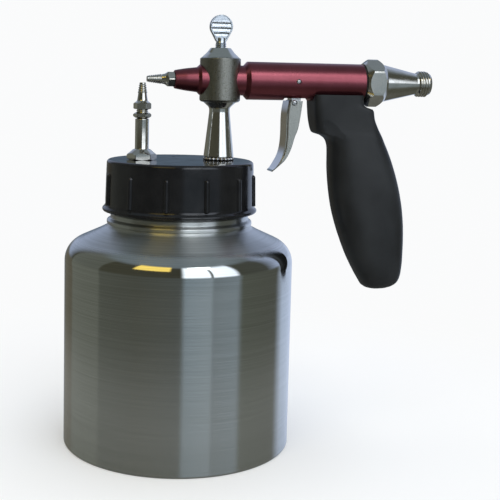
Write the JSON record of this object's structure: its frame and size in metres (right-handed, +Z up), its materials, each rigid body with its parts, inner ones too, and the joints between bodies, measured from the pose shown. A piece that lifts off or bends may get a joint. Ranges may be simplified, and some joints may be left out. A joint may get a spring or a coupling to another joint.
{
  "type": "airbrush gun",
  "caption": "Siphon-feed airbrush gun: pistol-grip air gun clamped in a post on a screw cap, external fluid stem and a quart metal cup.",
  "frame": {"origin": "centre of the cup's flat bottom, on the surface it stands on", "axes": "+Z up along the cup's axis, -X the way the gun sprays, +X towards the grip and the hose thread"},
  "size_m": [0.1878, 0.1142, 0.2148],
  "materials": {
    "cup_metal": "fine circumferential brushing, polished shoulder",
    "black_cap": "gloss",
    "black_grip": "satin, fine moulded texture",
    "nickel": "polished nickel plate",
    "steel": "machined",
    "brass": "machined",
    "red_anodised": "satin red anodised",
    "seal_rubber": "matt"
  },
  "bodies": {
    "cup": {"cup": "cup_metal"},
    "gasket": {"cap_gasket": "seal_rubber"},
    "cap": {"screw_cap": "black_cap", "siphon_tube": "steel", "fluid_stem": "nickel", "stem_washer": "seal_rubber", "stem_nut": "steel", "tip_lock_nut": "nickel", "star_washer": "steel", "support_post": "nickel", "post_screw_washer": "steel", "post_screw": "steel"},
    "tip_ring": {"tip_seal": "seal_rubber"},
    "tip": {"fluid_tip": "nickel"},
    "clamp_pad": {"thumb_screw_pad": "brass"},
    "clamp_screw": {"thumb_screw": "nickel"},
    "gun": {"barrel": "red_anodised", "air_tip": "nickel", "air_tip_seal": "seal_rubber", "trigger_pivot_pin": "steel", "valve_body": "brass", "stem_packing": "seal_rubber", "valve_spring": "steel", "connector_ring": "seal_rubber", "rear_connector": "nickel", "grip": "black_grip", "grip_bolt_washer": "steel", "grip_bolt": "steel"},
    "trigger": {"trigger": "nickel", "trigger_lever": "steel", "trigger_screw": "steel"},
    "valve": {"valve_stem": "steel", "valve_seal": "seal_rubber"}
  },
  "joints": [
    {"name": "cap_lift", "type": "slide", "parent": "cup", "child": "gasket", "axis": [0, 0, 1], "range_m": [0, 0.0063]},
    {"name": "cap_turn", "type": "hinge", "parent": "gasket", "child": "cap", "pos_m": [0, 0, 0.1425], "axis": [0, 0, 1], "range_deg": [0, 450]},
    {"name": "tip_lift", "type": "slide", "parent": "cap", "child": "tip_ring", "axis": [0, 0, 1], "range_m": [-0.0008, 0.0016]},
    {"name": "tip_turn", "type": "hinge", "parent": "tip_ring", "child": "tip", "pos_m": [-0.0195, 0, 0.1675], "axis": [0, 0, 1], "range_deg": [-361, 721]},
    {"name": "clamp_lift", "type": "slide", "parent": "cap", "child": "clamp_pad", "axis": [0, 0, 1], "range_m": [0, 0.002]},
    {"name": "clamp_turn", "type": "hinge", "parent": "clamp_pad", "child": "clamp_screw", "pos_m": [0.0195, 0, 0.2], "axis": [0, 0, 1], "range_deg": [0, 721]},
    {"name": "gun_slide", "type": "slide", "parent": "cap", "child": "gun", "axis": [1, 0, 0], "range_m": [-0.0015, 0.006]},
    {"name": "trigger_pull", "type": "hinge", "parent": "gun", "child": "trigger", "pos_m": [0.0578, 0, 0.1825], "axis": [0, -1, 0], "range_deg": [0, 14], "stiffness_Nm_per_rad": 0.4, "springref_deg": -5.73},
    {"name": "valve_slide", "type": "slide", "parent": "gun", "child": "valve", "axis": [1, 0, 0], "range_m": [0, 0.0012], "deforming": ["valve_spring"]}
  ],
  "couplings": [
    {"joint": "cap_lift", "follows": "cap_turn", "m_per_rad": 0.00066845},
    {"joint": "tip_turn", "follows": "tip_lift", "rad_per_m": 7854},
    {"joint": "clamp_turn", "follows": "clamp_lift", "rad_per_m": 6283.2},
    {"joint": "valve_slide", "follows": "trigger_pull", "m_per_rad": 0.0044}
  ]
}
